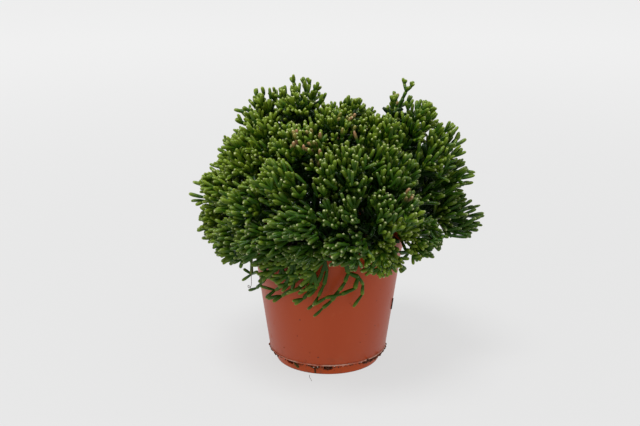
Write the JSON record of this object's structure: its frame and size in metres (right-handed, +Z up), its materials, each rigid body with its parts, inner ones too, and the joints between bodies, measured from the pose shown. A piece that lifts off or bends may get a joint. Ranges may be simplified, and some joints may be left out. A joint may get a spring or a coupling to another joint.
{
  "type": "potted hatiora cactus",
  "caption": "Bushy hatiora cactus of thin branching club-segmented stems, rooted in peat in a round tapered plastic nursery pot; rests on its base.",
  "frame": {"origin": "centre of the pot's flat underside, on the pot's axis", "axes": "+Z up along the pot's axis, the side shown in the picture at -Y, +X to the viewer's right"},
  "size_m": [0.209, 0.1985, 0.2227],
  "materials": {
    "pot": "satin",
    "soil": "matte",
    "stem": "satin"
  },
  "bodies": {
    "root": {"pot": "pot", "potting_soil": "soil", "stem_back_high_1": "stem", "stem_back_high_2": "stem", "stem_back_high_3": "stem", "stem_back_high_4": "stem", "stem_back_low_1": "stem", "stem_back_low_2": "stem", "stem_back_low_3": "stem", "stem_back_low_4": "stem", "stem_back_mid_1": "stem", "stem_back_mid_2": "stem", "stem_back_mid_3": "stem", "stem_back_mid_4": "stem", "stem_back_mid_5": "stem", "stem_back_top_1": "stem", "stem_back_top_2": "stem", "stem_centre_high": "stem", "stem_centre_left": "stem", "stem_centre_left_high": "stem", "stem_centre_low": "stem", "stem_centre_low_right": "stem", "stem_centre_mid": "stem", "stem_centre_right": "stem", "stem_centre_top": "stem", "stem_crest": "stem", "stem_far_top_left": "stem", "stem_left_bottom": "stem", "stem_left_low": "stem", "stem_left_mid": "stem", "stem_left_shoulder": "stem", "stem_low_left": "stem", "stem_mid_left": "stem", "stem_peak": "stem", "stem_right_crest": "stem", "stem_right_high": "stem", "stem_right_low": "stem", "stem_right_mid": "stem", "stem_right_shoulder": "stem", "stem_right_sweep": "stem", "stem_right_top": "stem", "stem_rim_front": "stem", "stem_rim_right": "stem", "stem_top_left": "stem", "stem_trailing_fork": "stem", "stem_trailing_left_inner": "stem", "stem_trailing_left_outer": "stem", "stem_trailing_right": "stem", "stem_trailing_side": "stem", "stem_upper_left": "stem"}
  },
  "joints": []
}
